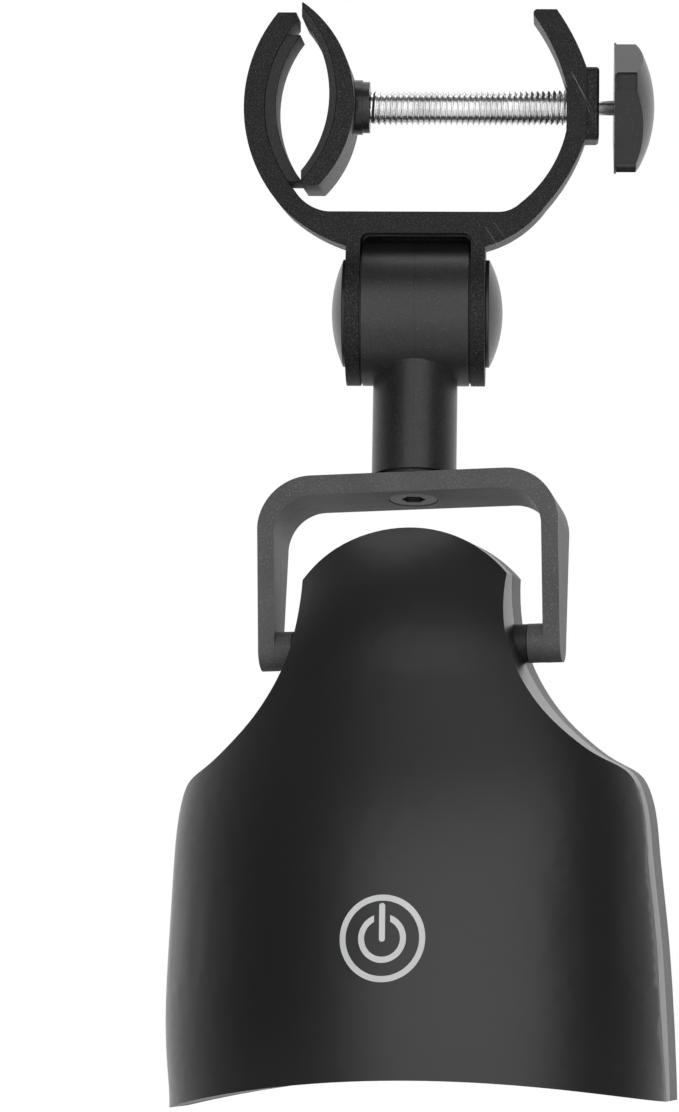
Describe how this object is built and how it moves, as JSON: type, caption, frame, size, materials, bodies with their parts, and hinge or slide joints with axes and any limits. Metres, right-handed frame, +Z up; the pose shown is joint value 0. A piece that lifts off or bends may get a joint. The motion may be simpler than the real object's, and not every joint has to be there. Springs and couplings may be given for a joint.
{
  "type": "clamp-on barbecue lamp",
  "caption": "Handle-clamp lamp: screw clamp with curved padded jaws, hinged swivelling stem, yoke and a tilting bell-shaped lamp head with touch switch and battery bay.",
  "frame": {"origin": "centre between the closed jaws, on the clamp screw's axis", "axes": "+X along the clamp screw towards its knob, +Y along the clamped bar towards the lamp's back, +Z up; the head hangs below the clamp"},
  "size_m": [0.1129, 0.0841, 0.2471],
  "materials": {
    "frame_black": "coarse satin black powder coat",
    "rubber_black": "matte",
    "plastic_satin": "smooth satin",
    "plastic_textured": "fine grained",
    "dark_steel": "blackened steel, satin",
    "nylon_black": "plain",
    "zinc_steel": "bright zinc plated",
    "brass": "plain",
    "clear_lens": "clear moulded acrylic",
    "reflector_silver": "metallised plastic",
    "board_green": "solder resist",
    "led_dome": "clear epoxy",
    "cell_skin": "printed sleeve, plain",
    "symbol_grey": "silver grey print",
    "wire_red": "wire sleeve"
  },
  "bodies": {
    "clamp": {"clamp_frame": "frame_black", "clamp_nut": "zinc_steel", "fixed_jaw_pad": "rubber_black", "left_hinge_cap": "plastic_satin", "right_hinge_cap": "plastic_satin", "hinge_bolt": "zinc_steel", "hinge_nut": "zinc_steel", "hinge_washers": "nylon_black"},
    "jaw": {"moving_jaw": "frame_black", "moving_jaw_pad": "rubber_black", "jaw_collar": "dark_steel"},
    "screw": {"clamp_screw": "zinc_steel", "knob": "plastic_satin"},
    "stem": {"stem": "plastic_satin", "swivel_insert": "brass", "swivel_screw": "dark_steel"},
    "yoke": {"yoke": "plastic_textured", "swivel_washers": "nylon_black", "tilt_pins": "zinc_steel"},
    "head": {"front_cover": "plastic_satin", "rear_housing": "plastic_textured", "power_symbol": "symbol_grey", "tilt_bushes": "nylon_black", "housing_screws": "zinc_steel", "battery_tray": "plastic_textured", "batteries": "cell_skin", "battery_contacts": "zinc_steel", "led_lens": "clear_lens", "reflector": "reflector_silver", "led_board": "board_green", "leds": "led_dome", "control_board": "board_green", "touch_plate": "brass", "board_screws": "zinc_steel", "board_wires": "wire_red"},
    "door": {"battery_door": "plastic_textured", "door_screw": "zinc_steel"}
  },
  "joints": [
    {"name": "jaw_slide", "type": "slide", "parent": "clamp", "child": "jaw", "axis": [1, 0, 0], "range_m": [0, 0.0418]},
    {"name": "knob_turn", "type": "hinge", "parent": "jaw", "child": "screw", "pos_m": [0.0633, 0, 0], "axis": [1, 0, 0], "range_deg": [0, 12060]},
    {"name": "stem_swing", "type": "hinge", "parent": "clamp", "child": "stem", "pos_m": [0.0258, 0, -0.0466], "axis": [1, 0, 0], "range_deg": [-75.6, 104.4]},
    {"name": "yoke_swivel", "type": "hinge", "parent": "stem", "child": "yoke", "pos_m": [0.0258, -0.01927, -0.12166], "axis": [0, 0.2487, 0.9686], "continuous": true},
    {"name": "head_tilt", "type": "hinge", "parent": "yoke", "child": "head", "pos_m": [0.0258, -0.01927, -0.12166], "axis": [0.9854, -0.1649, 0.0423], "range_deg": [-45, 45]},
    {"name": "battery_door_off", "type": "slide", "parent": "head", "child": "door", "axis": [0.1679, 0.9823, -0.0836], "range_m": [0, 0.016]}
  ],
  "couplings": [
    {"joint": "knob_turn", "follows": "jaw_slide", "rad_per_m": 5026.5}
  ]
}
